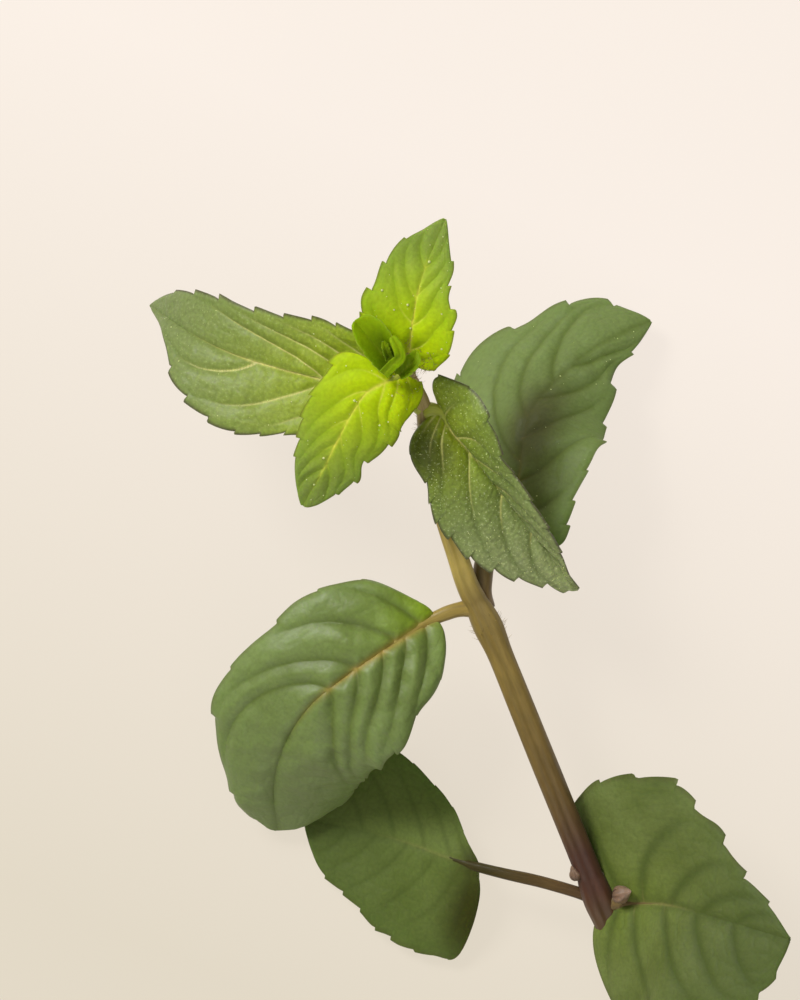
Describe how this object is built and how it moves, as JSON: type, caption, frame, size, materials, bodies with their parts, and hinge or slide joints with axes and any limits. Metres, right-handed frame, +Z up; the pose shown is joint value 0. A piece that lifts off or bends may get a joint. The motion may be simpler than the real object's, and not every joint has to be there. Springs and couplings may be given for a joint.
{
  "type": "mint sprig",
  "caption": "Freshly cut peppermint shoot lying on its side, with a square stem, paired toothed leaves and a leafy growing tip, for garnish and still-life scenes.",
  "frame": {"origin": "centre of the bounding box, on the surface the sprig lies on", "axes": "+Y along the sprig from the cut end to the growing tip, +Z up away from the surface, +X to the right when seen from above with the tip at the top"},
  "size_m": [0.065, 0.0894, 0.0298],
  "materials": {
    "stem_bark": "satin, ribbed, brown shading to yellow-green",
    "mature_leaf": "soft sheen, quilted between sunken veins, short hairs",
    "upper_leaf": "grey-green, gland-dotted, pale sunken veins",
    "young_leaf": "bright yellow-green, soft sheen, pale veins",
    "bud_leaf": "soft, hairy, fresh green",
    "axillary_bud": "satin, pinkish brown"
  },
  "bodies": {
    "root": {"main_stem": "stem_bark", "leaf_d_left": "mature_leaf", "leaf_d_right": "mature_leaf", "leaf_c_left": "mature_leaf", "leaf_c_right": "mature_leaf", "leaf_b_left": "upper_leaf", "leaf_b_right": "upper_leaf", "leaf_a_upper": "young_leaf", "leaf_a_lower": "young_leaf", "bud_leaf_left": "bud_leaf", "bud_leaf_back": "bud_leaf", "bud_leaf_middle": "bud_leaf", "bud_leaf_right": "bud_leaf", "axillary_bud_d_left": "axillary_bud", "axillary_bud_d_right": "axillary_bud"}
  },
  "joints": []
}
